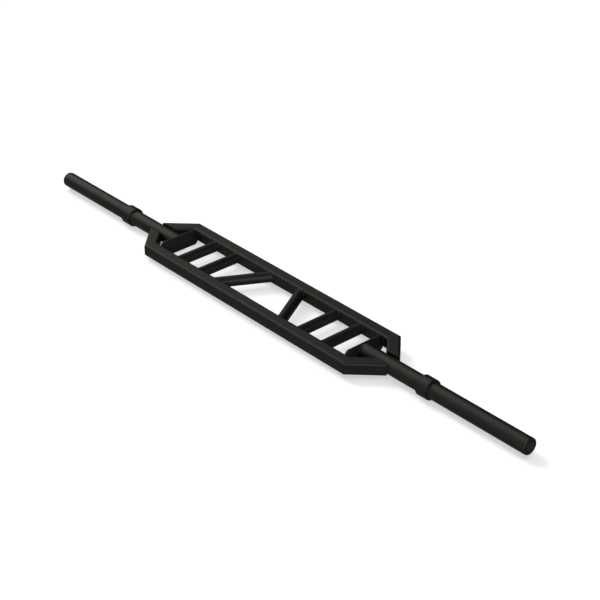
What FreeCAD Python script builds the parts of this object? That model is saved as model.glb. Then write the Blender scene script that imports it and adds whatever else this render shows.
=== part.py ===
import FreeCAD, Part
import os
import Sketcher

# A multi-grip barbell: a flat ladder frame of square tube with six cross grips, and
# on each end a round neck tube, a stop collar and a sleeve that carries weight plates.
#
# Frame of reference: the origin is the middle of the bar, on the axis of both sleeves.
# +X runs along the bar to its right end, +Y from the front rail to the back rail, +Z up.
# The bar is the same on both sides of the middle, except for its two slanted grips, which
# lean towards each other at the back. All sizes are in millimetres.

DIMENSIONS = (
    ("overall_length", 2148),
    ("tube_diameter", 50),
    ("tube_wall", 6),
    ("sleeve_rim_round", 3.5),
    ("sleeve_web", 15),
    ("spigot_length", 40),
    ("neck_bevel", 1),
    ("frame_width", 223.6),
    ("rail_width", 40),
    ("rail_height", 40),
    ("rail_wall", 3),
    ("rail_round", 7),
    ("mitre_corner", 473),
    ("mitre_turn", 45),
    ("grip_diameter", 34),
    ("grip_wall", 3),
    ("outer_grip_place", 341.5),
    ("inner_grip_place", 236.5),
    ("slanted_grip_place", 114),
    ("grip_slant", 30),
    ("end_plate_place", 435),
    ("end_plate_thickness", 6),
    ("end_plate_height", 53),
    ("end_plate_round", 14),
    ("collar_place", 677),
    ("collar_width", 40),
    ("collar_diameter", 62.5),
    ("collar_round", 1.5),
    ("plug_length", 30),
    ("plug_recess", 4),
    ("plug_boss_diameter", 31),
    ("plug_wall", 4),
    ("plug_face_thickness", 8),
    ("plug_boss_round", 0.6),
    ("bead_size", 3),
    ("neck_bead_size", 1.5),
    ("bead_toe", 0.2),
    ("seam_root", 5),
    ("seam_top", 12),
    ("seam_depth", 4.5),
)

doc = FreeCAD.newDocument("multi_grip_barbell")
sheet = doc.addObject("Spreadsheet::Sheet", "Dimensions")
for row, (alias, value) in enumerate(DIMENSIONS, start=1):
    sheet.set(f"A{row}", alias)
    sheet.set(f"B{row}", str(value))
    sheet.setAlias(f"B{row}", alias)
doc.recompute()

# Sizes that follow from the driving ones, as expressions over the sheet.
TUBE_RADIUS = "Dimensions.tube_diameter / 2"
BORE_RADIUS = "(Dimensions.tube_diameter / 2 - Dimensions.tube_wall)"
FRAME_EDGE = "Dimensions.frame_width / 2"
RAIL_INNER_FACE = "(Dimensions.frame_width / 2 - Dimensions.rail_width)"
GRIP_RADIUS = "Dimensions.grip_diameter / 2"
MITRE_SETBACK = "Dimensions.rail_width * tan(Dimensions.mitre_turn / 2)"
PLATE_OUTER_FACE = "(Dimensions.end_plate_place + Dimensions.end_plate_thickness)"
COLLAR_OUTER_FACE = "(Dimensions.collar_place + Dimensions.collar_width)"
HALF_LENGTH = "(Dimensions.overall_length / 2)"
RAIL_END_LENGTH = f"({FRAME_EDGE} - {TUBE_RADIUS}) / sin(Dimensions.mitre_turn)"

BEAD_TOE = "Dimensions.bead_toe"

NO_TURN = FreeCAD.Rotation()
ABOUT_X = FreeCAD.Rotation(FreeCAD.Vector(1, 0, 0), 180)
ABOUT_Y = FreeCAD.Rotation(FreeCAD.Vector(0, 1, 0), 180)
ABOUT_Z = FreeCAD.Rotation(FreeCAD.Vector(0, 0, 1), 180)


def value_of(expression):
    """The present value of an expression over the sheet."""
    return float(sheet.evalExpression(expression.replace("Dimensions.", "")))


# ---------------------------------------------------------------- building helpers


def new_body(label):
    body = doc.addObject("PartDesign::Body", label)
    body.Label = label
    return body


def new_sketch(body, plane_role, name, offset="0"):
    """An empty sketch on one of the body's own origin planes, moved along its normal."""
    sketch = body.newObject("Sketcher::SketchObject", name)
    planes = [f for f in body.Origin.OriginFeatures if f.Role == plane_role]
    sketch.AttachmentSupport = [(planes[0], "")]
    sketch.MapMode = "FlatFace"
    sketch.setExpression(".AttachmentOffset.Base.z", offset)
    return sketch


def add_circle(sketch, radius):
    """A circle about the sketch's origin."""
    start_radius = value_of(radius)
    circle = Part.Circle(FreeCAD.Vector(0, 0, 0), FreeCAD.Vector(0, 0, 1), start_radius)
    index = sketch.addGeometry(circle, False)
    sketch.addConstraint(Sketcher.Constraint("Coincident", index, 3, -1, 1))
    number = sketch.addConstraint(Sketcher.Constraint("Radius", index, start_radius))
    sketch.setExpression(f"Constraints[{number}]", radius)


def add_polygon(sketch, corners):
    """A closed outline whose corners each sit at a pair of sheet expressions."""
    points = [FreeCAD.Vector(value_of(x), value_of(y), 0) for x, y in corners]
    count = len(points)
    first = sketch.GeometryCount
    for i in range(count):
        sketch.addGeometry(Part.LineSegment(points[i], points[(i + 1) % count]), False)
    for i in range(count):
        following = first + (i + 1) % count
        sketch.addConstraint(Sketcher.Constraint("Coincident", first + i, 2, following, 1))
    for i, (x, y) in enumerate(corners):
        for kind, expression in (("DistanceX", x), ("DistanceY", y)):
            place = value_of(expression)
            if abs(place) < 1e-9:
                on_axis = -2 if kind == "DistanceX" else -1
                sketch.addConstraint(Sketcher.Constraint("PointOnObject", first + i, 1, on_axis))
                continue
            number = sketch.addConstraint(
                Sketcher.Constraint(kind, -1, 1, first + i, 1, place)
            )
            sketch.setExpression(f"Constraints[{number}]", expression)


def box_corners(half_width, half_height, middle="0"):
    """Corners of a rectangle about (middle, 0)."""
    low = f"{middle} - {half_width}"
    high = f"{middle} + {half_width}"
    return (
        (low, f"-({half_height})"),
        (high, f"-({half_height})"),
        (high, half_height),
        (low, half_height),
    )


def add_pad(body, sketch, length, symmetric=False):
    pad = body.newObject("PartDesign::Pad", "Pad")
    pad.Profile = sketch
    pad.SideType = "Symmetric" if symmetric else "One side"
    pad.setExpression("Length", length)
    doc.recompute()
    return pad


def add_through_pocket(body, sketch):
    """Cut a sketch right through the body, both ways, and check that it took something."""
    before = body.Shape.Volume
    pocket = body.newObject("PartDesign::Pocket", "Pocket")
    pocket.Profile = sketch
    pocket.SideType = "Symmetric"
    pocket.Type = "ThroughAll"
    doc.recompute()
    if body.Shape.Volume > before - 1:
        raise RuntimeError(f"the pocket in {body.Label} cuts nothing")
    return pocket


def add_full_turn(body, section):
    """A section turned right round the X axis."""
    turn = body.newObject("PartDesign::Revolution", "Revolution")
    turn.Profile = section
    turn.ReferenceAxis = (section, ["H_Axis"])
    turn.Angle = 360
    doc.recompute()
    return turn


def add_fillet(body, feature, edge_names, radius):
    fillet = body.newObject("PartDesign::Fillet", "Fillet")
    fillet.Base = (feature, edge_names)
    fillet.setExpression("Radius", radius)
    doc.recompute()
    return fillet


def edges_where(feature, test):
    """Names of a feature's edges that pass a test."""
    return [f"Edge{i}" for i, edge in enumerate(feature.Shape.Edges, start=1) if test(edge)]


def runs_along_x(edge):
    if not isinstance(edge.Curve, Part.Line):
        return False
    return abs(abs(edge.Curve.Direction.x) - 1) < 1e-6


def is_rim(radius, place):
    """A test for the circular edge of a given radius at a given place along X."""
    wanted_radius = value_of(radius)
    wanted_place = value_of(place)

    def test(edge):
        if not isinstance(edge.Curve, Part.Circle):
            return False
        same_radius = abs(edge.Curve.Radius - wanted_radius) < 1e-3
        return same_radius and abs(edge.Curve.Center.x - wanted_place) < 1e-3

    return test


def turned(shape_object, rotation):
    """Place an object by a half turn about the bar's middle."""
    shape_object.Placement = FreeCAD.Placement(FreeCAD.Vector(0, 0, 0), rotation)
    return shape_object


# ---------------------------------------------------------------- the frame


def make_rail(label, rotation):
    """The long side of the frame: square tube, mitred at both ends."""
    body = new_body(label)
    corner = "Dimensions.mitre_corner"
    inner_corner = f"({corner} - {MITRE_SETBACK})"
    outline = new_sketch(body, "XY_Plane", "RailOutline")
    add_polygon(
        outline,
        (
            (f"-({corner})", f"-({FRAME_EDGE})"),
            (corner, f"-({FRAME_EDGE})"),
            (inner_corner, f"-{RAIL_INNER_FACE}"),
            (f"-{inner_corner}", f"-{RAIL_INNER_FACE}"),
        ),
    )
    pad = add_pad(body, outline, "Dimensions.rail_height", symmetric=True)
    rounded = add_fillet(body, pad, edges_where(pad, runs_along_x), "Dimensions.rail_round")
    hollow = new_sketch(body, "YZ_Plane", "RailHollow")
    hollow_middle = f"-({FRAME_EDGE} - Dimensions.rail_width / 2)"
    add_polygon(hollow, hollow_corners(hollow_middle))
    body.Tip = round_hollow(body, add_through_pocket(body, hollow))
    return turned(body, rotation)


def hollow_corners(middle):
    """The hollow inside a rail's wall, about a given middle."""
    half_width = "(Dimensions.rail_width / 2 - Dimensions.rail_wall)"
    half_height = "(Dimensions.rail_height / 2 - Dimensions.rail_wall)"
    return box_corners(half_width, half_height, middle)


def round_hollow(body, pocket):
    """Round the hollow's four long edges, so that the wall is as thick at the corners."""
    height = value_of("Dimensions.rail_height / 2 - Dimensions.rail_wall")

    def at_hollow_corner(edge):
        return runs_along_x(edge) and abs(abs(edge.Vertexes[0].Z) - height) < 1e-3

    radius = "Dimensions.rail_round - Dimensions.rail_wall"
    return add_fillet(body, pocket, edges_where(pocket, at_hollow_corner), radius)


def make_rail_end(label, side, edge):
    """A short rail that turns in from the mitre to the neck tube, cut flat along the tube.

    It is drawn with its outer face on the X axis, from the outer corner of the mitre.
    side is +1 at the right end of the bar and edge is -1 on the front rail.
    """
    body = new_body(label)
    width = "Dimensions.rail_width"
    outline = new_sketch(body, "XY_Plane", "RailEndOutline")
    add_polygon(
        outline,
        (
            ("0", "0"),
            (RAIL_END_LENGTH, "0"),
            (f"{RAIL_END_LENGTH} - {width} / tan(Dimensions.mitre_turn)", width),
            (MITRE_SETBACK, width),
        ),
    )
    pad = add_pad(body, outline, "Dimensions.rail_height", symmetric=True)
    add_fillet(body, pad, edges_where(pad, runs_along_x), "Dimensions.rail_round")
    hollow = new_sketch(body, "YZ_Plane", "RailEndHollow")
    add_polygon(hollow, hollow_corners(f"{width} / 2"))
    body.Tip = round_hollow(body, add_through_pocket(body, hollow))

    turn_in = FreeCAD.Rotation(FreeCAD.Vector(0, 0, 1), value_of("Dimensions.mitre_turn"))
    flips = {(1, -1): NO_TURN, (1, 1): ABOUT_X, (-1, -1): ABOUT_Y, (-1, 1): ABOUT_Z}
    body.Placement.Rotation = flips[(side, edge)].multiply(turn_in)
    body.setExpression(".Placement.Base.x", f"{side} * Dimensions.mitre_corner")
    body.setExpression(".Placement.Base.y", f"{edge} * {FRAME_EDGE}")
    return body


def make_end_plate(label, rotation):
    """A flat plate on edge between the rails, which closes the frame and holds a neck tube."""
    body = new_body(label)
    outline = new_sketch(body, "YZ_Plane", "PlateOutline", "Dimensions.end_plate_place")
    add_polygon(outline, box_corners(RAIL_INNER_FACE, "Dimensions.end_plate_height / 2"))
    pad = add_pad(body, outline, "Dimensions.end_plate_thickness")
    body.Tip = add_fillet(
        body, pad, edges_where(pad, runs_along_x), "Dimensions.end_plate_round"
    )
    return turned(body, rotation)


# ---------------------------------------------------------------- the grips


def make_straight_grip(label, place):
    """A round tube straight across the frame, from rail to rail."""
    body = new_body(label)
    outline = new_sketch(body, "XZ_Plane", "GripOutline")
    add_circle(outline, GRIP_RADIUS)
    add_circle(outline, f"{GRIP_RADIUS} - Dimensions.grip_wall")
    body.Tip = add_pad(body, outline, f"2 * {RAIL_INNER_FACE}", symmetric=True)
    body.setExpression(".Placement.Base.x", place)
    return body


def make_cylinder(name, radius, length, place, lean):
    """A cylinder across the frame, leaning by an angle from the Y axis, about its middle."""
    cylinder = doc.addObject("Part::Cylinder", name)
    cylinder.setExpression("Radius", radius)
    cylinder.setExpression("Height", length)
    across = FreeCAD.Rotation(FreeCAD.Vector(1, 0, 0), -90)
    leaning = FreeCAD.Rotation(FreeCAD.Vector(0, 0, 1), value_of(lean))
    cylinder.Placement.Rotation = leaning.multiply(across)
    cylinder.setExpression(".Placement.Base.x", f"{place} + {length} / 2 * sin({lean})")
    cylinder.setExpression(".Placement.Base.y", f"-({length}) / 2 * cos({lean})")
    return cylinder


def make_slanted_grip(label, side):
    """A round tube across the frame at a slant, its ends cut to lie flat on the rails."""
    place = f"{side} * Dimensions.slanted_grip_place"
    lean = f"{side} * Dimensions.grip_slant"
    rough_length = "Dimensions.frame_width"
    outer = make_cylinder("SlantedOutside", GRIP_RADIUS, rough_length, place, lean)
    bore_radius = f"{GRIP_RADIUS} - Dimensions.grip_wall"
    inner = make_cylinder("SlantedBore", bore_radius, rough_length, place, lean)
    tube = doc.addObject("Part::Cut", "SlantedTube")
    tube.Base = outer
    tube.Tool = inner
    room = doc.addObject("Part::Box", "BetweenRails")
    room.setExpression("Length", "Dimensions.frame_width")
    room.setExpression("Width", f"2 * {RAIL_INNER_FACE}")
    room.setExpression("Height", "2 * Dimensions.grip_diameter")
    room.setExpression(".Placement.Base.x", f"{place} - {FRAME_EDGE}")
    room.setExpression(".Placement.Base.y", f"-{RAIL_INNER_FACE}")
    room.setExpression(".Placement.Base.z", "-Dimensions.grip_diameter")
    grip = doc.addObject("Part::Common", label)
    grip.Base = tube
    grip.Tool = room
    grip.Label = label
    return grip


# ---------------------------------------------------------------- the bar ends


def make_neck_tube(label, rotation):
    """The round tube from the end plate to the outer face of the stop collar.

    Its outer end is bevelled for the weld, under the collar.
    """
    body = new_body(label)
    outline = new_sketch(body, "YZ_Plane", "NeckOutline", PLATE_OUTER_FACE)
    add_circle(outline, TUBE_RADIUS)
    add_circle(outline, BORE_RADIUS)
    pad = add_pad(body, outline, f"{COLLAR_OUTER_FACE} - {PLATE_OUTER_FACE}")
    bevel = body.newObject("PartDesign::Chamfer", "WeldBevel")
    bevel.Base = (pad, edges_where(pad, is_rim(TUBE_RADIUS, COLLAR_OUTER_FACE)))
    bevel.setExpression("Size", "Dimensions.neck_bevel")
    doc.recompute()
    body.Tip = bevel
    return turned(body, rotation)


def make_sleeve(label, rotation):
    """The tube that carries the weight plates, turned with a spigot that fills the neck tube."""
    body = new_body(label)
    section = new_sketch(body, "XY_Plane", "SleeveSection")
    spigot_end = f"{COLLAR_OUTER_FACE} - Dimensions.spigot_length"
    bore_start = f"{COLLAR_OUTER_FACE} + Dimensions.sleeve_web"
    spigot_bore = f"{BORE_RADIUS} - Dimensions.plug_wall"
    add_polygon(
        section,
        (
            (spigot_end, spigot_bore),
            (spigot_end, BORE_RADIUS),
            (COLLAR_OUTER_FACE, BORE_RADIUS),
            (COLLAR_OUTER_FACE, TUBE_RADIUS),
            (HALF_LENGTH, TUBE_RADIUS),
            (HALF_LENGTH, BORE_RADIUS),
            (bore_start, BORE_RADIUS),
            (bore_start, spigot_bore),
        ),
    )
    turn = add_full_turn(body, section)
    rim = edges_where(turn, is_rim(TUBE_RADIUS, HALF_LENGTH))
    body.Tip = add_fillet(body, turn, rim, "Dimensions.sleeve_rim_round")
    return turned(body, rotation)


def make_stop_collar(label, rotation):
    """The welded ring that stops the weight plates."""
    body = new_body(label)
    outline = new_sketch(body, "YZ_Plane", "CollarOutline", "Dimensions.collar_place")
    collar_radius = "Dimensions.collar_diameter / 2"
    add_circle(outline, collar_radius)
    add_circle(outline, TUBE_RADIUS)
    pad = add_pad(body, outline, "Dimensions.collar_width")
    rims = edges_where(pad, is_rim(collar_radius, "Dimensions.collar_place"))
    rims += edges_where(pad, is_rim(collar_radius, COLLAR_OUTER_FACE))
    body.Tip = add_fillet(body, pad, rims, "Dimensions.collar_round")
    return turned(body, rotation)


def make_end_plug(label, rotation):
    """The plug pressed into the tube's end: a cup with a flat boss inside a ring groove."""
    body = new_body(label)
    section = new_sketch(body, "XY_Plane", "PlugSection")
    shoulder = f"{HALF_LENGTH} - Dimensions.plug_recess"
    mouth = f"{HALF_LENGTH} - Dimensions.plug_length"
    floor = f"{HALF_LENGTH} - Dimensions.plug_recess - Dimensions.plug_face_thickness"
    boss_radius = "Dimensions.plug_boss_diameter / 2"
    cup_radius = f"{BORE_RADIUS} - Dimensions.plug_wall"
    add_polygon(
        section,
        (
            (mouth, cup_radius),
            (mouth, BORE_RADIUS),
            (shoulder, BORE_RADIUS),
            (shoulder, boss_radius),
            (HALF_LENGTH, boss_radius),
            (HALF_LENGTH, "0"),
            (floor, "0"),
            (floor, cup_radius),
        ),
    )
    turn = add_full_turn(body, section)
    rim = edges_where(turn, is_rim(boss_radius, HALF_LENGTH))
    body.Tip = add_fillet(body, turn, rim, "Dimensions.plug_boss_round")
    return turned(body, rotation)


# ---------------------------------------------------------------- the weld beads


def make_group(label, pieces):
    """Several separate solids of one kind, kept together as one node."""
    group = doc.addObject("Part::Compound", label)
    group.Links = pieces
    group.Label = label
    return group


def make_grip_bead(place, lean, edge):
    """A small fillet of weld round one end of a grip, against the inner face of a rail.

    It is lofted between two ellipses, the size of the grip's slanted section and a bead
    larger, and the grip's own cylinder is cut out of it.
    """
    wall = f"{edge} * {RAIL_INNER_FACE}"
    inward = f"({wall} - {edge} * Dimensions.bead_size)"
    profiles = []
    for name, across, extra in (
        ("BeadFoot", wall, "Dimensions.bead_size"),
        ("BeadTop", inward, BEAD_TOE),
    ):
        ellipse = doc.addObject("Part::Ellipse", name)
        ellipse.setExpression("MajorRadius", f"({GRIP_RADIUS} + {extra}) / cos({lean}) + 0.001")
        ellipse.setExpression("MinorRadius", f"{GRIP_RADIUS} + {extra}")
        ellipse.Placement.Rotation = FreeCAD.Rotation(FreeCAD.Vector(1, 0, 0), 90)
        ellipse.setExpression(".Placement.Base.x", f"{place} - {across} * tan({lean})")
        ellipse.setExpression(".Placement.Base.y", across)
        profiles.append(ellipse)
    cone = doc.addObject("Part::Loft", "BeadCone")
    cone.Sections = profiles
    cone.Solid = True
    cone.Ruled = True
    grip_space = make_cylinder("BeadCore", GRIP_RADIUS, "Dimensions.frame_width", place, lean)
    bead = doc.addObject("Part::Cut", "GripBead")
    bead.Base = cone
    bead.Tool = grip_space
    return bead


def make_ring_bead(size, place, side):
    """A fillet of weld round a neck tube, against a face whose outside looks along side."""
    cone = doc.addObject("Part::Cone", "RingCone")
    cone.setExpression("Radius1", f"{TUBE_RADIUS} + {size}")
    cone.setExpression("Radius2", f"{TUBE_RADIUS} + {BEAD_TOE}")
    cone.setExpression("Height", size)
    cone.Placement.Rotation = FreeCAD.Rotation(FreeCAD.Vector(0, 1, 0), 90 * side)
    cone.setExpression(".Placement.Base.x", place)
    core = doc.addObject("Part::Cylinder", "RingCore")
    core.setExpression("Radius", TUBE_RADIUS)
    core.setExpression("Height", size)
    core.Placement.Rotation = cone.Placement.Rotation
    core.setExpression(".Placement.Base.x", place)
    bead = doc.addObject("Part::Cut", "RingBead")
    bead.Base = cone
    bead.Tool = core
    return bead


def make_upright_bead(side, edge, plate_face, outward):
    """A hollow-faced fillet of weld in an upright corner between an end plate and a rail."""
    size = "Dimensions.bead_size"
    height = "(Dimensions.rail_height - 2 * Dimensions.rail_round)"
    along = side * outward
    block = doc.addObject("Part::Box", "UprightBlock")
    block.setExpression("Length", size)
    block.setExpression("Width", size)
    block.setExpression("Height", height)
    block.setExpression(
        ".Placement.Base.x", f"{side} * {plate_face} + {(along - 1) // 2} * {size}"
    )
    block.setExpression(
        ".Placement.Base.y", f"{edge} * {RAIL_INNER_FACE} + {(-edge - 1) // 2} * {size}"
    )
    block.setExpression(".Placement.Base.z", f"-{height} / 2")
    scoop = doc.addObject("Part::Cylinder", "UprightScoop")
    scoop.setExpression("Radius", size)
    scoop.setExpression("Height", height)
    scoop.setExpression(
        ".Placement.Base.x", f"{side} * {plate_face} + {along} * ({size} + {BEAD_TOE})"
    )
    scoop.setExpression(
        ".Placement.Base.y", f"{edge} * ({RAIL_INNER_FACE} - {size} - {BEAD_TOE})"
    )
    scoop.setExpression(".Placement.Base.z", f"-{height} / 2")
    bead = doc.addObject("Part::Cut", "UprightBead")
    bead.Base = block
    bead.Tool = scoop
    return bead


def make_seam_bead(side, edge, level):
    """Weld in the groove between a rail end's cut face and the round of the neck tube."""
    cut_length = "Dimensions.rail_width / sin(Dimensions.mitre_turn)"
    outer_end = f"(Dimensions.mitre_corner + {RAIL_END_LENGTH} * cos(Dimensions.mitre_turn))"
    depth = "Dimensions.seam_depth"
    height = "(Dimensions.seam_top - Dimensions.seam_root)"
    low_x = f"{outer_end} - {cut_length}" if side > 0 else f"-{outer_end}"
    block = doc.addObject("Part::Box", "SeamBlock")
    block.setExpression("Length", cut_length)
    block.setExpression("Width", depth)
    block.setExpression("Height", height)
    block.setExpression(".Placement.Base.x", low_x)
    block.setExpression(
        ".Placement.Base.y", f"{edge} * {TUBE_RADIUS} + {(-edge - 1) // 2} * {depth}"
    )
    low_z = "Dimensions.seam_root" if level > 0 else "-Dimensions.seam_top"
    block.setExpression(".Placement.Base.z", low_z)
    tube_space = doc.addObject("Part::Cylinder", "SeamTube")
    tube_space.setExpression("Radius", TUBE_RADIUS)
    tube_space.setExpression("Height", "Dimensions.overall_length")
    tube_space.Placement.Rotation = FreeCAD.Rotation(FreeCAD.Vector(0, 1, 0), 90)
    tube_space.setExpression(".Placement.Base.x", f"-{HALF_LENGTH}")
    bead = doc.addObject("Part::Cut", "SeamBead")
    bead.Base = block
    bead.Tool = tube_space
    return bead


# ---------------------------------------------------------------- the whole bar

GRIPS = (
    ("outer", "Dimensions.outer_grip_place", "0"),
    ("inner", "Dimensions.inner_grip_place", "0"),
    ("slanted", "Dimensions.slanted_grip_place", "Dimensions.grip_slant"),
)
SIDES = (("left", -1, ABOUT_Z), ("right", 1, NO_TURN))
EDGES = (("front", -1), ("back", 1))

nodes = [make_rail("front_rail", NO_TURN), make_rail("back_rail", ABOUT_Z)]
for side_name, side, rotation in SIDES:
    for edge_name, edge in EDGES:
        nodes.append(make_rail_end(f"{edge_name}_{side_name}_rail_end", side, edge))
    nodes.append(make_end_plate(f"{side_name}_end_plate", rotation))
    for grip_name, place, lean in GRIPS:
        label = f"{side_name}_{grip_name}_grip"
        if grip_name == "slanted":
            nodes.append(make_slanted_grip(label, side))
        else:
            nodes.append(make_straight_grip(label, f"{side} * {place}"))
    nodes.append(make_neck_tube(f"{side_name}_neck_tube", rotation))
    nodes.append(make_sleeve(f"{side_name}_sleeve", rotation))
    nodes.append(make_stop_collar(f"{side_name}_stop_collar", rotation))
    nodes.append(make_end_plug(f"{side_name}_end_plug", rotation))

grip_beads = []
plate_beads = []
neck_beads = []
collar_beads = []
seam_beads = []
for side_name, side, rotation in SIDES:
    for edge_name, edge in EDGES:
        for grip_name, place, lean in GRIPS:
            grip_beads.append(make_grip_bead(f"{side} * {place}", f"{side} * {lean}", edge))
        plate_beads.append(make_upright_bead(side, edge, PLATE_OUTER_FACE, 1))
        plate_beads.append(make_upright_bead(side, edge, "Dimensions.end_plate_place", -1))
        seam_beads.append(make_seam_bead(side, edge, 1))
        seam_beads.append(make_seam_bead(side, edge, -1))
    neck_beads.append(
        make_ring_bead("Dimensions.neck_bead_size", f"{side} * {PLATE_OUTER_FACE}", side)
    )
    collar_beads.append(
        make_ring_bead("Dimensions.bead_size", f"{side} * Dimensions.collar_place", -side)
    )

nodes.append(make_group("grip_welds", grip_beads))
nodes.append(make_group("end_plate_welds", plate_beads))
nodes.append(make_group("neck_tube_welds", neck_beads))
nodes.append(make_group("collar_welds", collar_beads))
nodes.append(make_group("rail_end_welds", seam_beads))
doc.recompute()

# ---------------------------------------------------------------- checks and files

for item in doc.Objects:
    if "Invalid" in item.State or "Error" in item.State:
        raise RuntimeError(f"{item.Name} failed: {item.State}")
for node in nodes:
    if node.Shape.isNull() or not node.Shape.isValid():
        raise RuntimeError(f"{node.Label} has no valid shape")

os.makedirs("parts", exist_ok=True)
for node in nodes:
    node.Shape.exportStep(f"parts/{node.Label}.step")
    box = node.Shape.BoundBox
    print(
        f"{node.Label:24s} solids {len(node.Shape.Solids):2d}"
        f"  volume {node.Shape.Volume / 1000:8.2f} cm3"
        f"  x {box.XMin:8.1f} {box.XMax:8.1f}"
        f"  y {box.YMin:7.1f} {box.YMax:7.1f}"
        f"  z {box.ZMin:6.1f} {box.ZMax:6.1f}"
    )
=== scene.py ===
# %% [markdown]
# # A welded multi-grip barbell
#
# The bar is a flat ladder of steel tube with six cross grips. A round neck tube leaves each
# end of the ladder, passes through a stop collar and ends in the sleeve that carries the
# weight plates. All but the end plugs is steel under a satin black powder coat, so the look
# comes from exact outlines, small rounded edges, tiny weld ripples and soft light.
#
# The first cell loads the engineering model. Its nodes give the places and the main sizes.
# Wall thicknesses, roundings, angles and weld sizes are named in the cells that use them.

# %% Load the frame
import math

import bmesh
import bpy
import numpy as np
from mathutils import Matrix, Vector


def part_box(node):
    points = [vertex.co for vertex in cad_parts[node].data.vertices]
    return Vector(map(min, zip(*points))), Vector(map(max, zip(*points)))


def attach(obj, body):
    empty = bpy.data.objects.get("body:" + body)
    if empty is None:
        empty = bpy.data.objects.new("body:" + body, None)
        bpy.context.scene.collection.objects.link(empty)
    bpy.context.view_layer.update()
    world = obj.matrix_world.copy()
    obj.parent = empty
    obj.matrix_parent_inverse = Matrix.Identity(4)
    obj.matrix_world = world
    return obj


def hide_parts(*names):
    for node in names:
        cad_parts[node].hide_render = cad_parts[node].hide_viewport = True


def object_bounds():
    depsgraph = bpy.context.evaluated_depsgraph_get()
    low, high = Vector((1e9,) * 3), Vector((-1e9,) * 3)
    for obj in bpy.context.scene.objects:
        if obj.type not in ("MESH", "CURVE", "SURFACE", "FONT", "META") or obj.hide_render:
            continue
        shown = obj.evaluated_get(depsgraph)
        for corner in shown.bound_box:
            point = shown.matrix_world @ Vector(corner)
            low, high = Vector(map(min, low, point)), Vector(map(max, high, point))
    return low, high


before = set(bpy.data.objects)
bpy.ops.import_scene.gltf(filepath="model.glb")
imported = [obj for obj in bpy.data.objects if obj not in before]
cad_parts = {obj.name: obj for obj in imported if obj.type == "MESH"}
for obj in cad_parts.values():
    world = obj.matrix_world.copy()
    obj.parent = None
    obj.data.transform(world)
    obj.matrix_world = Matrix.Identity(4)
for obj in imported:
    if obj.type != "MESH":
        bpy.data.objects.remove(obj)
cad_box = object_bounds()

print("CAD nodes:", len(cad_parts))

# %% [markdown]
# ## Read the sizes
#
# A round part's radius is half its height, and a face's place is one end of its box. Only
# the right half of the bar is measured, because the left half mirrors it.

# %% Sizes from the frame


def span(node, axis):
    """Lowest and highest place of a CAD node along X, Y or Z (0, 1 or 2), in metres."""
    low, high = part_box(node)
    return low[axis], high[axis]


X = 0
Y = 1
Z = 2
MM = 0.001
mitre_corner = span("front_rail", X)[1]
frame_edge, rail_face = (abs(v) for v in span("front_rail", Y))
rail_width = frame_edge - rail_face
rail_half_height = span("front_rail", Z)[1]
plate_inner, plate_outer = span("right_end_plate", X)
plate_half_height = span("right_end_plate", Z)[1]
neck_radius = span("right_neck_tube", Z)[1]
collar_inner, collar_outer = span("right_stop_collar", X)
collar_radius = span("right_stop_collar", Z)[1]
bar_end = span("right_sleeve", X)[1]
spigot_end = span("right_sleeve", X)[0]
plug_mouth = span("right_end_plug", X)[0]
bore_radius = span("right_end_plug", Z)[1]
grip_radius = span("right_outer_grip", Z)[1]
floor_level = cad_box[0][2]

print(f"bar {2 * bar_end:.3f} m long, sleeve radius {neck_radius / MM:.1f} mm")
print(f"rails {rail_width / MM:.0f} x {2 * rail_half_height / MM:.0f} mm")

# %% [markdown]
# ## How a surface becomes a mesh
#
# Each piece below is a grid of points: row by row along the piece, and column by column
# round it. Neighbouring points make quads. A grid that wraps both ways is a ring, which is
# just right for a hollow tube: the outside runs one way and the bore runs back. A row whose
# points all meet is a pole, and merging the doubles closes it.

# %% Grid to mesh
MERGE_DISTANCE = 1e-7


def quads(rows, columns, wrap_rows, wrap_columns, first):
    """Corner numbers of each cell: point (i, j) is number first + i * columns + j."""
    i = np.arange(rows if wrap_rows else rows - 1)[:, None]
    j = np.arange(columns if wrap_columns else columns - 1)[None, :]
    next_i, next_j = (i + 1) % rows, (j + 1) % columns
    corners = (
        i * columns + j, next_i * columns + j, next_i * columns + next_j, i * columns + next_j,
    )
    return first + np.stack([c.ravel() for c in np.broadcast_arrays(*corners)], axis=1)


def skin(name, grids, sharp_degrees=35.0):
    """One object from closed grids of points, with its normals turned outwards.

    Each grid is (points, wrap_rows, wrap_columns). Edges that turn by more than
    sharp_degrees stay crisp, and all the others shade smoothly.
    """
    points, faces, first = [], [], 0
    for grid, wrap_rows, wrap_columns in grids:
        rows, columns = grid.shape[:2]
        points.append(grid.reshape(-1, 3))
        faces.append(quads(rows, columns, wrap_rows, wrap_columns, first))
        first += rows * columns
    points, faces = np.concatenate(points), np.concatenate(faces)
    mesh = bpy.data.meshes.new(name)
    mesh.vertices.add(len(points))
    mesh.vertices.foreach_set("co", points.astype(np.float32).ravel())
    mesh.loops.add(faces.size)
    mesh.loops.foreach_set("vertex_index", faces.astype(np.int32).ravel())
    mesh.polygons.add(len(faces))
    mesh.polygons.foreach_set("loop_start", np.arange(0, faces.size, 4, dtype=np.int32))
    mesh.update(calc_edges=True)
    shape = bmesh.new()
    shape.from_mesh(mesh)
    bmesh.ops.remove_doubles(shape, verts=shape.verts, dist=MERGE_DISTANCE)
    bmesh.ops.recalc_face_normals(shape, faces=shape.faces)
    shape.to_mesh(mesh)
    shape.free()
    mesh.polygons.foreach_set("use_smooth", np.ones(len(mesh.polygons), bool))
    mesh.set_sharp_from_angle(angle=math.radians(sharp_degrees))
    piece = bpy.data.objects.new(name, mesh)
    bpy.context.scene.collection.objects.link(piece)
    return piece


# %% [markdown]
# Each finished piece then gets its material and its material slot, hides the CAD node that it
# stands for, and is fixed to the bar's one body.

# %% Fix a piece to the bar


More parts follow.
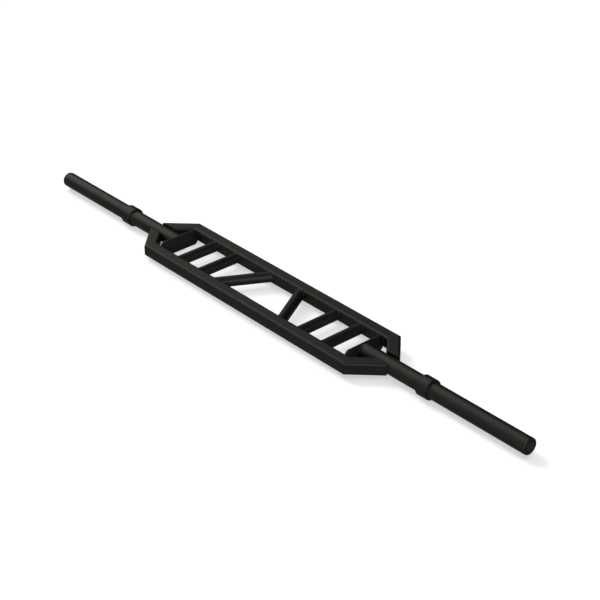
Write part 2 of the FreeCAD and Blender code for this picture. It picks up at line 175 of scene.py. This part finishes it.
def stand_for(piece, node, material):
    """Give a piece its finish, hide the CAD node that it stands for, and fix it to the bar."""
    piece.data.materials.append(material)
    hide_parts(node)
    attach(piece, "root")
    print(f"{piece.name}: {len(piece.data.polygons)} faces")


# %% [markdown]
# ## The finish: powder coat
#
# Powder coat is plastic powder baked onto the steel. Up close it isn't flat: the melt
# leaves an orange peel a millimetre or two across, and under that a fine grain. Its gloss
# drifts a little over the length of a tube. The colour is almost pure black, so what the
# eye reads is the soft shine, and the shine's breadth is the roughness.
#
# All the patterns use Object coordinates. Every piece sits at the origin, so the grain has
# the same size everywhere and runs on across neighbouring pieces.
#
# Two small tools come first: a noise whose features have a known size in metres, and a
# stretch of its values over a chosen span.

# %% Noise tools
NOISE_LOW = 0.25
NOISE_HIGH = 0.75


def noise(nodes, links, place, pitch, detail):
    """Noise with features about pitch metres apart."""
    texture = nodes.new("ShaderNodeTexNoise")
    texture.inputs["Scale"].default_value = 1.0 / pitch
    texture.inputs["Detail"].default_value = detail
    links.new(place, texture.inputs["Vector"])
    return texture.outputs["Fac"]


def spread(nodes, links, value, low, high):
    """The middle half of a noise, stretched over low to high."""
    ramp = nodes.new("ShaderNodeMapRange")
    ramp.inputs["From Min"].default_value = NOISE_LOW
    ramp.inputs["From Max"].default_value = NOISE_HIGH
    ramp.inputs["To Min"].default_value = low
    ramp.inputs["To Max"].default_value = high
    links.new(value, ramp.inputs["Value"])
    return ramp.outputs["Result"]


# %% [markdown]
# The coat mixes two tones by a slow noise, varies its roughness by a quicker one, and bends its
# normal by two bumps, the peel and then the grain.

# %% Powder coat
TONE_PITCH = 35 * MM
GLOSS_PITCH = 12 * MM


def coat(name, dark, light, gloss, shine, peel, grain):
    """A black coat: dark and light are its two tones, gloss its roughness from and to.

    peel and grain are (pitch, height) in metres of the orange peel and of the fine grain.
    """
    material = bpy.data.materials.new(name)
    material.use_nodes = True
    nodes, links = material.node_tree.nodes, material.node_tree.links
    shader = nodes["Principled BSDF"]
    shader.inputs["Specular IOR Level"].default_value = shine
    place = nodes.new("ShaderNodeTexCoord").outputs["Object"]

    tone = nodes.new("ShaderNodeMix")
    tone.data_type = "RGBA"
    tone.inputs["A"].default_value = (*dark, 1.0)
    tone.inputs["B"].default_value = (*light, 1.0)
    drift = noise(nodes, links, place, TONE_PITCH, 4.0)
    links.new(spread(nodes, links, drift, 0.0, 1.0), tone.inputs["Factor"])
    links.new(tone.outputs["Result"], shader.inputs["Base Color"])

    sheen_drift = noise(nodes, links, place, GLOSS_PITCH, 6.0)
    links.new(spread(nodes, links, sheen_drift, *gloss), shader.inputs["Roughness"])

    normal = None
    for pitch, height in (peel, grain):
        bump = nodes.new("ShaderNodeBump")
        bump.inputs["Strength"].default_value = 1.0
        bump.inputs["Distance"].default_value = height
        links.new(noise(nodes, links, place, pitch, 2.0), bump.inputs["Height"])
        if normal is not None:
            links.new(normal, bump.inputs["Normal"])
        normal = bump.outputs["Normal"]
    links.new(normal, shader.inputs["Normal"])
    return material


# %% [markdown]
# The frame, sleeves and collars share one coat. The grips' coat is a little cooler, finer and
# rougher, for the hands, and the end plugs are plain matte plastic.

# %% Three finishes
SHINE = 0.24
frame_coat = coat(
    "satin_black_powder_coat", (0.0027, 0.0026, 0.0025), (0.0048, 0.0046, 0.0044),
    (0.44, 0.52), SHINE, (1.8 * MM, 0.05 * MM), (0.35 * MM, 0.012 * MM),
)
grip_coat = coat(
    "fine_black_grip_coat", (0.0025, 0.0027, 0.0029), (0.0044, 0.0047, 0.0050),
    (0.46, 0.56), SHINE, (1.2 * MM, 0.045 * MM), (0.30 * MM, 0.015 * MM),
)
plug_plastic = coat(
    "matte_black_plug", (0.0062, 0.0062, 0.0061), (0.0088, 0.0088, 0.0085),
    (0.50, 0.60), SHINE, (0.9 * MM, 0.02 * MM), (0.25 * MM, 0.008 * MM),
)
print("finishes:", frame_coat.name, grip_coat.name, plug_plastic.name)

# %% [markdown]
# ## Square tube
#
# Rolled tube has rounded corners, and those few millimetres catch the only bright lines on
# the frame. A rounded rectangle is four quarter circles joined by straight sides. Each side
# has a guard point close to its ends, so that smooth shading bends only at the corner.

# %% Sections of tube


def rounded_rectangle(half_width, half_height, radius, steps=7, guard=0.35 * MM):
    """Points anticlockwise round a rounded rectangle, as an array of (a, b).

    A corner's points are its centre plus radius times (cos, sin) of the turning angle, and
    a guard point follows and precedes it at a small distance along the flat sides.
    """
    angle = np.linspace(0.0, math.pi / 2, steps)
    outline = []
    for k, (a, b) in enumerate(((1, 1), (-1, 1), (-1, -1), (1, -1))):
        centre = np.array([a * (half_width - radius), b * (half_height - radius)])
        turn = angle + k * math.pi / 2
        arc = centre + radius * np.stack([np.cos(turn), np.sin(turn)], axis=1)
        ahead = np.array([-math.sin(turn[-1]), math.cos(turn[-1])])
        behind = np.array([math.sin(turn[0]), -math.cos(turn[0])])
        outline += [arc[:1] + guard * behind, arc, arc[-1:] + guard * ahead]
    return np.concatenate(outline)


def circle(radius, count):
    """Points round a circle: radius times (cos, sin) of equal steps of a full turn."""
    angle = np.arange(count) * (2 * math.pi / count)
    return radius * np.stack([np.cos(angle), np.sin(angle)], axis=1)


def hollow_run(outer, inner, start, finish, to_place, stations=9):
    """A hollow tube cut at any slant: outer section out along it, inner section back.

    start and finish give how far along the tube it is cut, for each section point's depth,
    so a mitre is a cut that depends on the depth. to_place turns (along, depth, height)
    into a place.
    """
    rows = []
    for section, steps in ((outer, np.linspace(0, 1, stations)), (inner, np.array([1.0, 0.0]))):
        depth, height = section[:, 0], section[:, 1]
        along = start(depth) + steps[:, None] * (finish(depth) - start(depth))
        rows.append(to_place(along, depth + 0 * along, height + 0 * along))
    return np.concatenate(rows), True, True


# %% [markdown]
# ## Rails and rail ends
#
# Each long rail is mitred where a short rail end turns in by 45 degrees, so both are cut at
# half that angle. A cut's place depends on depth, the distance in from the frame's outer
# face, so one function of depth describes a whole cut.

# %% Rails
RAIL_ROUND = 7.0 * MM
RAIL_WALL = 3.0 * MM
MITRE_TURN = math.radians(45)

outer_section = rounded_rectangle(rail_width / 2, rail_half_height, RAIL_ROUND)
inner_section = rounded_rectangle(
    rail_width / 2 - RAIL_WALL, rail_half_height - RAIL_WALL, RAIL_ROUND - RAIL_WALL
)
# depth is counted from the outer face
outer_section = outer_section + [rail_width / 2, 0]
inner_section = inner_section + [rail_width / 2, 0]


def mitre(depth):
    """How far the mitre has cut back at a depth: depth times tan of half the turn."""
    return depth * math.tan(MITRE_TURN / 2)


for rail, edge in (("front_rail", -1), ("back_rail", 1)):
    run = hollow_run(
        outer_section,
        inner_section,
        lambda depth: -mitre_corner + mitre(depth),
        lambda depth: mitre_corner - mitre(depth),
        lambda along, depth, height: np.stack([along, edge * (frame_edge - depth), height], -1),
        stations=25,
    )
    stand_for(skin(rail + "_tube", [run]), rail, frame_coat)

# %% [markdown]
# The rail ends start with the same mitre. At their other end they are cut again, flat along
# the neck tube, where the cut falls back by the depth over the tangent of the turn.

# %% Rail ends
end_length = (frame_edge - neck_radius) / math.sin(MITRE_TURN)
turn_x, turn_y = math.cos(MITRE_TURN), math.sin(MITRE_TURN)


def end_place(side, edge):
    """Along the outer face is (cos, sin) of the turn, and depth is a right angle to it."""

    def place(along, depth, height):
        x = mitre_corner + along * turn_x - depth * turn_y
        y = frame_edge - along * turn_y - depth * turn_x
        return np.stack([side * x, edge * y, height], -1)

    return place


for side_name, side in (("left", -1), ("right", 1)):
    for edge_name, edge in (("front", -1), ("back", 1)):
        run = hollow_run(
            outer_section,
            inner_section,
            mitre,
            lambda depth: end_length - depth / math.tan(MITRE_TURN),
            end_place(side, edge),
        )
        node = f"{edge_name}_{side_name}_rail_end"
        stand_for(skin(node + "_tube", [run]), node, frame_coat)

# %% [markdown]
# ## End plates
#
# The end plate is cut from flat bar, so it has square faces with rounded corners, and the
# coat softens its edges by a little under a millimetre. It is built as rings that swell from a
# pole in the middle of one face, over the edge, to a pole in the middle of the other.

# %% End plates
PLATE_CORNER = 14.0 * MM
PLATE_EDGE = 0.9 * MM
FACE_GUARD = 2.5 * MM


def edge_profile(low, high, radius, steps=5):
    """(x, inset) along a rounded plate edge: a quarter circle at each of the two faces."""
    angle = np.linspace(0, math.pi / 2, steps)
    first = np.stack([low + radius * (1 - np.cos(angle)), radius * (1 - np.sin(angle))], 1)
    last = np.stack([high - radius * (1 - np.cos(angle)), radius * (1 - np.sin(angle))], 1)
    return np.concatenate([first, last[::-1]])


def plate_grid(side):
    """Each ring is the plate's outline drawn in by the edge's inset, and placed at its x.

    A guard ring lies a little way in on each face, and keeps the shading flat there.
    """
    rings = []
    profile = edge_profile(plate_inner, plate_outer, PLATE_EDGE)
    first, last = [[plate_inner, FACE_GUARD]], [[plate_outer, FACE_GUARD]]
    for x, inset in np.concatenate([first, profile, last]):
        half_sides = rail_face - inset, plate_half_height - inset
        ring = rounded_rectangle(*half_sides, PLATE_CORNER - inset, steps=13)
        rings.append(np.column_stack([np.full(len(ring), side * x), ring]))
    poles = [np.tile([side * x, 0.0, 0.0], (len(rings[0]), 1)) for x in (plate_inner, plate_outer)]
    return np.stack([poles[0], *rings, poles[1]]), False, True


for side_name, side in (("left", -1), ("right", 1)):
    node = f"{side_name}_end_plate"
    stand_for(skin(node + "_steel", [plate_grid(side)]), node, frame_coat)

# %% [markdown]
# ## Grips
#
# Six lengths of round tube. The slanted ones lean by 30 degrees, so their ends are cut on
# the skew: at each point round the tube, the length is whatever reaches the rail's face.

# %% Grips
GRIP_WALL = 3.0 * MM
GRIP_SLANT = math.radians(30)
GRIP_STEPS = 72


def grip_grid(centre, lean):
    """Along the axis (-sin, cos) of the lean, sideways (cos, sin); cut where y is a rail face."""

    def reach(face):
        return lambda sideways: (face - sideways * math.sin(lean)) / math.cos(lean)

    def place(along, sideways, height):
        x = centre - along * math.sin(lean) + sideways * math.cos(lean)
        y = along * math.cos(lean) + sideways * math.sin(lean)
        return np.stack([x, y, height], -1)

    outer = circle(grip_radius, GRIP_STEPS)
    inner = circle(grip_radius - GRIP_WALL, GRIP_STEPS)
    return hollow_run(outer, inner, reach(-rail_face), reach(rail_face), place, stations=13)


grips = {}
for side_name, side in (("left", -1), ("right", 1)):
    for kind, slant in (("outer", 0.0), ("inner", 0.0), ("slanted", GRIP_SLANT)):
        node = f"{side_name}_{kind}_grip"
        centre = sum(span(node, X)) / 2
        grips[node] = (centre, side * slant)
        stand_for(skin(node + "_tube", [grip_grid(*grips[node])]), node, grip_coat)

# %% [markdown]
# ## Turned parts
#
# The neck tube, stop collar, sleeve and end plug are all round about the bar's axis. Each
# is a profile of (x, radius) turned through a full circle. A closed profile gives a ring or
# tube, and an open one that starts and ends on the axis gives a solid plug with two poles.

# %% Turning tools
ROUND_STEPS = 112


def turned(profile, side, closed=True):
    """Turn (x, radius) about the X axis: (side * x, radius * cos, radius * sin)."""
    angle = np.arange(ROUND_STEPS) * (2 * math.pi / ROUND_STEPS)
    x = side * profile[:, :1] + 0 * angle
    y = profile[:, 1:] * np.cos(angle)
    z = profile[:, 1:] * np.sin(angle)
    return np.stack([x, y, z], -1), closed, True


def rounded_profile(corners, guard=0.3 * MM, steps=7):
    """A profile through corners (x, radius, rounding), each eased by an arc of its rounding.

    At a square corner the arc is a quarter circle. It leaves one side and joins the next at
    the rounding's distance from the corner, with a guard point just before and after it. Its
    points are the centre less the rounding times (ahead * cos + back * sin) of the angle.
    """
    count = len(corners)
    points = []
    for k, (x, radius, rounding) in enumerate(corners):
        corner = np.array([x, radius])
        if rounding == 0:
            points.append(corner[None, :])
            continue
        back = np.array(corners[k - 1][:2]) - corner
        ahead = np.array(corners[(k + 1) % count][:2]) - corner
        back, ahead = back / np.linalg.norm(back), ahead / np.linalg.norm(ahead)
        angle = np.linspace(0, math.pi / 2, steps)[:, None]
        centre = corner + rounding * (back + ahead)
        arc = centre - rounding * (ahead * np.cos(angle) + back * np.sin(angle))
        near = corner + (rounding + guard) * back
        far = corner + (rounding + guard) * ahead
        points += [near[None, :], arc, far[None, :]]
    return np.concatenate(points)


def stretch(profile, longest=30 * MM):
    """The same closed profile with its long sides cut into shorter ones."""
    following = np.roll(profile, -1, axis=0)
    pieces = np.maximum(1, np.ceil(np.linalg.norm(following - profile, axis=1) / longest)).astype(int)
    return np.concatenate([
        a + (b - a) * (np.arange(n) / n)[:, None] for a, b, n in zip(profile, following, pieces)
    ])


# %% [markdown]
# The neck tube is bevelled where it ends under the collar. The sleeve has a wide rounded rim,
# and its inner end is a spigot that plugs into the neck tube. The end plug stands in the
# sleeve's mouth: its boss is flush with the rim, and a groove runs round it.

# %% Turned parts
WELD_BEVEL = 1.0 * MM
SLEEVE_RIM = 3.5 * MM
MOUTH_ROUND = 0.4 * MM
SLEEVE_WEB = 15.0 * MM
SPIGOT_WALL = 4.0 * MM
COLLAR_ROUND = 1.5 * MM
PLUG_RECESS = 4.0 * MM
PLUG_BOSS = 15.5 * MM
PLUG_FACE = 8.0 * MM
GROOVE_ROUND = 0.3 * MM
BOSS_ROUND = 0.6 * MM

neck_profile = rounded_profile([
    (plate_outer, bore_radius, 0),
    (plate_outer, neck_radius, 0),
    (collar_outer - WELD_BEVEL, neck_radius, 0),
    (collar_outer, neck_radius - WELD_BEVEL, 0),
    (collar_outer, bore_radius, 0),
])
collar_profile = rounded_profile([
    (collar_inner, neck_radius, 0),
    (collar_inner, collar_radius, COLLAR_ROUND),
    (collar_outer, collar_radius, COLLAR_ROUND),
    (collar_outer, neck_radius, 0),
])
sleeve_profile = rounded_profile([
    (spigot_end, bore_radius - SPIGOT_WALL, 0),
    (spigot_end, bore_radius, 0),
    (collar_outer, bore_radius, 0),
    (collar_outer, neck_radius, 0),
    (bar_end, neck_radius, SLEEVE_RIM),
    (bar_end, bore_radius, MOUTH_ROUND),
    (collar_outer + SLEEVE_WEB, bore_radius, 0),
    (collar_outer + SLEEVE_WEB, bore_radius - SPIGOT_WALL, 0),
])
plug_profile = rounded_profile([
    (bar_end - PLUG_RECESS - PLUG_FACE, 0, 0),
    (bar_end - PLUG_RECESS - PLUG_FACE, bore_radius - SPIGOT_WALL, 0),
    (plug_mouth, bore_radius - SPIGOT_WALL, 0),
    (plug_mouth, bore_radius, 0),
    (bar_end - PLUG_RECESS, bore_radius, 0),
    (bar_end - PLUG_RECESS, PLUG_BOSS, GROOVE_ROUND),
    (bar_end, PLUG_BOSS, BOSS_ROUND),
    (bar_end, 0, 0),
])

for side_name, side in (("left", -1), ("right", 1)):
    for part, profile, closed, material in (
        ("neck_tube", stretch(neck_profile), True, frame_coat),
        ("stop_collar", collar_profile, True, frame_coat),
        ("sleeve", stretch(sleeve_profile), True, frame_coat),
        ("end_plug", plug_profile, False, plug_plastic),
    ):
        node = f"{side_name}_{part}"
        stand_for(skin(node + "_turned", [turned(profile, side, closed)]), node, material)

# %% [markdown]
# ## Weld beads
#
# Where two pieces meet, a welder lays a fillet. Each touch of the wire leaves a ripple, so
# the bead is a row of overlapping scales a little under two millimetres apart, and no two are
# quite the same size. The bead is swept along its corner: at each step it has two legs, one along
# each piece, and a slightly full face between them. The legs grow and shrink with the
# ripples. The bead's root is sunk a little way into both pieces, as a real weld's is.

# %% Bead surface
RIPPLE = 1.8 * MM
STEPS_PER_RIPPLE = 8
LEG = 1.3 * MM
ROOT = 0.7 * MM
TROUGH_SIZE = 0.92
SCALLOP_RISE = 0.10
SCALLOP_POWER = 2.2
SIZE_SPREAD = 0.03
END_TAPER = 1.5 * RIPPLE
FULLNESS = 0.16
BEAD_SHARP = 60
chance = np.random.default_rng(20)


def ripple_factor(travel, closed):
    """How large the bead is at each place.

    It is the size in a trough, plus a rise times one less the power of the distance from
    the scale's middle, plus a slow random drift from scale to scale.
    """
    scales = max(3, round(float(travel[-1]) / RIPPLE))
    phase = travel / travel[-1] * scales
    scallop = 1.0 - np.abs(2 * (phase % 1.0) - 1.0) ** SCALLOP_POWER
    size = chance.normal(0.0, SIZE_SPREAD, scales + 1)
    if closed:
        size[-1] = size[0]
    drift = np.interp(phase, np.arange(scales + 1), size)
    return TROUGH_SIZE + SCALLOP_RISE * scallop + drift


def bead_grid(corner, leg_a, leg_b, root, closed):
    """A weld along a line of corner points, with its two legs and its root as vectors at each.

    Round the section, the face is a blend of the two legs pushed out by a half sine wave,
    and the last point is the root, sunk behind the corner.
    """
    step = np.linalg.norm(np.diff(corner, axis=0), axis=1)
    travel = np.concatenate([[0.0], np.cumsum(step)])
    grow = ripple_factor(travel, closed)
    if not closed:
        ends = np.minimum(travel, travel[-1] - travel) / END_TAPER
        grow = grow * np.sqrt(np.clip(ends, 0.0, 1.0))
    blend = np.linspace(0.0, 1.0, 9)
    full = 1.0 + FULLNESS * np.sin(math.pi * blend)
    weight_a = (full * (1 - blend))[None, :, None]
    weight_b = (full * blend)[None, :, None]
    grow = grow[:, None, None]
    face = corner[:, None, :] + grow * (weight_a * leg_a[:, None, :] + weight_b * leg_b[:, None, :])
    sunk = corner[:, None, :] + np.minimum(grow, 1.0) * root[:, None, :]
    grid = np.concatenate([face, sunk], axis=1)
    if closed:
        return grid[:-1], True, True
    return grid, False, True


# %% [markdown]
# The rails' corners are round, and a grip is nearly as tall as its rail. So at the top and
# bottom of each grip the rail curves away from its cut end, and the weld fills the wedge. It
# is thin there, so that the light along the rail's edge runs on unbroken.

# %% Beads round the grips
GRIP_RIPPLES = 52
WEDGE_START = 9.0 * MM
WEDGE_THINNING = 0.65


def curved_away(height):
    """How far a rail's corner has curved away at a height: radius less its circle's height."""
    over = np.clip(np.abs(height) - (rail_half_height - RAIL_ROUND), 0.0, RAIL_ROUND)
    return RAIL_ROUND - np.sqrt(RAIL_ROUND**2 - over**2)


def grip_bead(centre, lean, edge):
    """The corner is the ellipse where the grip's cylinder meets the rail's face.

    One leg points out along the face, away from the ellipse's middle, and the other runs
    back along the grip. The first leg and the root follow the rail's curved corner.
    """
    angle = np.linspace(0.0, 2 * math.pi, GRIP_RIPPLES * STEPS_PER_RIPPLE + 1)
    sideways, height = grip_radius * np.cos(angle), grip_radius * np.sin(angle)
    face = edge * rail_face
    along = (face - sideways * math.sin(lean)) / math.cos(lean)
    x = centre - along * math.sin(lean) + sideways * math.cos(lean)
    corner = np.stack([x, np.full_like(x, face), height], -1)
    middle = centre - face * math.tan(lean)
    outward = np.stack([(x - middle) * math.cos(lean), 0 * x, height], -1)
    outward /= np.linalg.norm(outward, axis=1, keepdims=True)
    inward = np.array([math.sin(lean), -math.cos(lean), 0.0]) * edge
    wedge = np.clip((np.abs(height) - WEDGE_START) / (grip_radius - WEDGE_START), 0.0, 1.0)
    rail_leg = (LEG * (1.0 - WEDGE_THINNING * wedge))[:, None] * outward
    rail_leg[:, 1] = edge * curved_away(height + rail_leg[:, 2])
    root = -ROOT * outward
    root[:, 1] = edge * (curved_away(height) + ROOT)
    return bead_grid(corner, rail_leg, LEG * np.tile(inward, (len(x), 1)), root, True)


beads = [grip_bead(*grips[node], edge) for node in sorted(grips) for edge in (-1, 1)]
stand_for(skin("grip_weld_beads", beads, BEAD_SHARP), "grip_welds", frame_coat)

# %% [markdown]
# The plate is only a little taller than the neck tube, so the bead between them thins out
# at the top and bottom, where there is hardly any plate to weld to.

# %% Beads round the neck tubes and collars
RING_LEG = 0.9 * MM
RING_RIPPLES = 76
PLATE_LEDGE = 0.3 * MM
SIDE_SINE = 0.5


def ring_bead(x, side, leg, room):
    """The corner is a circle at x; one leg points out from the axis and the other along side.

    The outward leg stops where the room above the tube's top ends: room over |sin|, less
    the tube's radius. Near the sides the sine is held at SIDE_SINE, as there is room to spare.
    """
    angle = np.linspace(0.0, 2 * math.pi, RING_RIPPLES * STEPS_PER_RIPPLE + 1)
    out = np.stack([0 * angle, np.cos(angle), np.sin(angle)], -1)
    corner = neck_radius * out + [x, 0.0, 0.0]
    reach = room / np.maximum(np.abs(np.sin(angle)), SIDE_SINE) - neck_radius
    out_leg = np.minimum(leg, reach)[:, None] * out
    along = np.tile([float(side), 0.0, 0.0], (len(angle), 1))
    return bead_grid(corner, out_leg, leg * along, -ROOT * (out + along), True)


plate_room = plate_half_height - PLATE_LEDGE
neck_beads = [ring_bead(side * plate_outer, side, RING_LEG, plate_room) for side in (-1, 1)]
stand_for(skin("neck_weld_beads", neck_beads, BEAD_SHARP), "neck_tube_welds", frame_coat)
collar_beads = [ring_bead(side * collar_inner, -side, RING_LEG, collar_radius) for side in (-1, 1)]
stand_for(skin("collar_weld_beads", collar_beads, BEAD_SHARP), "collar_welds", frame_coat)

# %% [markdown]
# Straight beads run up the corners between an end plate and the rails, on both faces of the
# plate. Longer ones fill the groove where a rail end lies along the round neck tube, from one
# height on the tube's side to another.

# %% Straight beads
SEAM_TOP = 12.0 * MM
SEAM_ROOT = 7.0 * MM


def straight_bead(start, finish, leg_a, leg_b):
    """The corner is the straight line from start to finish, in equal steps."""
    start, finish = np.array(start, float), np.array(finish, float)
    count = int(np.linalg.norm(finish - start) / RIPPLE * STEPS_PER_RIPPLE)
    corner = start + (finish - start) * np.linspace(0, 1, count)[:, None]
    leg_a, leg_b = np.array(leg_a, float), np.array(leg_b, float)
    root = -ROOT * (leg_a / np.linalg.norm(leg_a) + leg_b / np.linalg.norm(leg_b))
    return bead_grid(corner, *(np.tile(leg, (count, 1)) for leg in (leg_a, leg_b, root)), False)


plate_beads, seam_beads = [], []
upright = rail_half_height - RAIL_ROUND
cut_end = mitre_corner + end_length * turn_x
cut_start = cut_end - rail_width / turn_y
root_y = (neck_radius + math.sqrt(neck_radius**2 - SEAM_ROOT**2)) / 2
tube_y = math.sqrt(neck_radius**2 - SEAM_TOP**2)
for side in (-1, 1):
    for edge in (-1, 1):
        for face, away in ((plate_outer, 1), (plate_inner, -1)):
            plate_beads.append(straight_bead(
                (side * face, edge * rail_face, -upright), (side * face, edge * rail_face, upright),
                (side * away * LEG, 0, 0), (0, -edge * LEG, 0),
            ))
        for level in (-1, 1):
            seam_beads.append(straight_bead(
                (side * cut_start, edge * root_y, level * SEAM_ROOT),
                (side * cut_end, edge * root_y, level * SEAM_ROOT),
                (0, edge * (tube_y - root_y), level * (SEAM_TOP - SEAM_ROOT)),
                (0, edge * (neck_radius - root_y), level * (SEAM_TOP - SEAM_ROOT)),
            ))
stand_for(skin("end_plate_weld_beads", plate_beads, BEAD_SHARP), "end_plate_welds", frame_coat)
stand_for(skin("rail_end_weld_beads", seam_beads, BEAD_SHARP), "rail_end_welds", frame_coat)

# %% [markdown]
# ## The floor
#
# The bar lies on its two collars on a white floor that shows only the soft shadows. The floor
# glows a little, so that it stays white. Black paint mirrors whatever surrounds it, so the
# floor is hidden from mirrored and bounced rays, and the world below stands in for it.

# %% Floor
FLOOR_REACH = 14.0
FLOOR_WHITE = 0.85
FLOOR_GLOW = 0.60
GLOW_COLOUR = (0.975, 0.985, 1.0, 1.0)
FLOOR_ROUGHNESS = 0.9
CORNERS = ((-1, -1), (1, -1), (1, 1), (-1, 1))
floor_mesh = bpy.data.meshes.new("studio_floor")
floor_mesh.from_pydata(
    [(x * FLOOR_REACH, y * FLOOR_REACH, floor_level) for x, y in CORNERS],
    [], [(0, 1, 2, 3)],
)
floor = bpy.data.objects.new("studio_floor", floor_mesh)
bpy.context.scene.collection.objects.link(floor)
floor.visible_glossy = False
floor.visible_diffuse = False
floor_paint = bpy.data.materials.new("white_floor")
floor_paint.use_nodes = True
floor_shader = floor_paint.node_tree.nodes["Principled BSDF"]
floor_shader.inputs["Base Color"].default_value = (FLOOR_WHITE, FLOOR_WHITE, FLOOR_WHITE, 1.0)
floor_shader.inputs["Roughness"].default_value = FLOOR_ROUGHNESS
floor_shader.inputs["Specular IOR Level"].default_value = 0.0
floor_shader.inputs["Emission Color"].default_value = GLOW_COLOUR
floor_shader.inputs["Emission Strength"].default_value = FLOOR_GLOW
floor_mesh.materials.append(floor_paint)
print(f"floor {-floor_level / MM:.1f} mm below the bar's axis")

# %% [markdown]
# ## The surroundings
#
# The world is dim and slightly warm below the horizon and black above, as in a hall with a dark
# ceiling. Its brightness depends only on how far up a direction points, and changes over a
# narrow band at the horizon.

# %% World
SURROUND = 0.255
HORIZON_BLUR = 0.06
SURROUND_COLOUR = (1.0, 0.969, 0.892, 1.0)
world = bpy.data.worlds.new("dim_hall")
world.use_nodes = True
sky = world.node_tree
direction = sky.nodes.new("ShaderNodeTexCoord")
rise = sky.nodes.new("ShaderNodeSeparateXYZ")
shade = sky.nodes.new("ShaderNodeMapRange")
shade.inputs["From Min"].default_value = -HORIZON_BLUR
shade.inputs["From Max"].default_value = HORIZON_BLUR
shade.inputs["To Min"].default_value = SURROUND
shade.inputs["To Max"].default_value = 0.0
sky.links.new(direction.outputs["Generated"], rise.inputs["Vector"])
sky.links.new(rise.outputs["Z"], shade.inputs["Value"])
sky.links.new(shade.outputs["Result"], sky.nodes["Background"].inputs["Strength"])
sky.nodes["Background"].inputs["Color"].default_value = SURROUND_COLOUR
bpy.context.scene.world = world
bpy.context.scene.view_settings.view_transform = "Standard"
bpy.context.scene.view_settings.look = "None"
print("surroundings:", world.name)

# %% [markdown]
# ## The lights
#
# Wide, far lights act as big soft boxes: each one on the bar is a disc of sky 26 to 60 degrees
# across. The key stands half way up beyond the left end, and draws the bright band along every
# tube. The fill is on the camera's side, and opens the front faces with a lower one beside it.
# Three weaker lights touch the edges and ends that turn away. A Sun light is used because its
# brightness is the same all along a long bar.
#
# Black paint takes much more light than a white floor can. So the floor has lights of its own,
# from beyond the bar and from overhead, which give it a short soft shadow. Light linking keeps
# the two sets apart: a light shines only on the objects that its collection lets it.

# %% Lights
LAMP_DISTANCE = 4.0


def link_group(name, member, state):
    """A collection of one object for light linking, where state is INCLUDE or EXCLUDE."""
    group = bpy.data.collections.new(name)
    group.objects.link(member)
    group.collection_objects[0].light_linking.link_state = state
    return group


FLOOR_ONLY = link_group("floor_only", floor, "INCLUDE")
NOT_FLOOR = link_group("not_floor", floor, "EXCLUDE")


def far_light(name, shines_on, around, height, width, strength, colour):
    """A disc of light far away, for the objects in shines_on.

    It is `around` degrees from +X towards +Y, `height` degrees above the horizon and `width`
    degrees across. Its direction is (cos h cos a, cos h sin a, sin h).
    """
    light = bpy.data.lights.new(name, "SUN")
    light.energy = strength
    light.angle = math.radians(width)
    light.color = colour
    lamp = bpy.data.objects.new(name, light)
    turn, tilt = math.radians(around), math.radians(height)
    level = math.cos(tilt)
    towards = Vector((level * math.cos(turn), level * math.sin(turn), math.sin(tilt)))
    lamp.location = LAMP_DISTANCE * towards
    lamp.rotation_mode = "QUATERNION"
    lamp.rotation_quaternion = towards.to_track_quat("Z", "Y")
    lamp.light_linking.receiver_collection = shines_on
    bpy.context.scene.collection.objects.link(lamp)
    print(f"{name}: {around:.0f} degrees round, {height:.0f} up, {width:.0f} wide")


far_light("key", NOT_FLOOR, 190.0, 47.0, 60.0, 1.86, (1.0, 0.969, 0.885))
far_light("fill", NOT_FLOOR, 325.0, 25.0, 45.0, 2.10, (0.926, 0.970, 1.0))
far_light("low_fill", NOT_FLOOR, 270.0, 12.0, 26.0, 1.45, (1.0, 1.0, 0.98))
far_light("back_edge", NOT_FLOOR, 150.0, 35.0, 26.0, 0.154, (1.0, 0.96, 0.863))
far_light("right_edge", NOT_FLOOR, 30.0, 12.0, 26.0, 0.21, (0.89, 0.93, 1.0))
far_light("end_light", NOT_FLOOR, 0.0, 12.0, 26.0, 0.66, (1.0, 1.0, 0.97))
far_light("floor_key", FLOOR_ONLY, 180.0, 38.0, 24.0, 1.4, (1.0, 0.98, 0.95))
far_light("floor_top", FLOOR_ONLY, 120.0, 80.0, 95.0, 1.0, (1.0, 1.0, 1.0))

# %% [markdown]
# ## The camera
#
# The view is a little over 30 degrees down and 50 degrees round from the front, with a long
# lens, so the bar runs across the picture and shrinks only gently towards its far end. The
# camera stands back by a distance, and slides a little to its right and down.

# %% Camera
AZIMUTH, ELEVATION, ROLL = (math.radians(v) for v in (50.10, 30.27, -1.28))
DISTANCE = 4.863
SLIDE_RIGHT = 0.1021
SLIDE_UP = -0.0222
LENS = 96.38
SENSOR_WIDTH = 36.0

view_back = np.array([
    math.sin(AZIMUTH) * math.cos(ELEVATION),
    -math.cos(AZIMUTH) * math.cos(ELEVATION),
    math.sin(ELEVATION),
])
view_right = np.array([math.cos(AZIMUTH), math.sin(AZIMUTH), 0.0])
view_up = np.cross(view_back, view_right)
rolled_right = math.cos(ROLL) * view_right + math.sin(ROLL) * view_up
rolled_up = -math.sin(ROLL) * view_right + math.cos(ROLL) * view_up

lens = bpy.data.cameras.new("camera")
lens.lens = LENS
lens.sensor_width = SENSOR_WIDTH
camera = bpy.data.objects.new("camera", lens)
bpy.context.scene.collection.objects.link(camera)
stand = np.eye(4)
stand[:3, :3] = np.stack([rolled_right, rolled_up, view_back], axis=1)
stand[:3, 3] = DISTANCE * view_back + SLIDE_RIGHT * view_right + SLIDE_UP * view_up
camera.matrix_world = Matrix(stand.tolist())
bpy.context.scene.camera = camera
print("camera at", np.round(stand[:3, 3], 2))
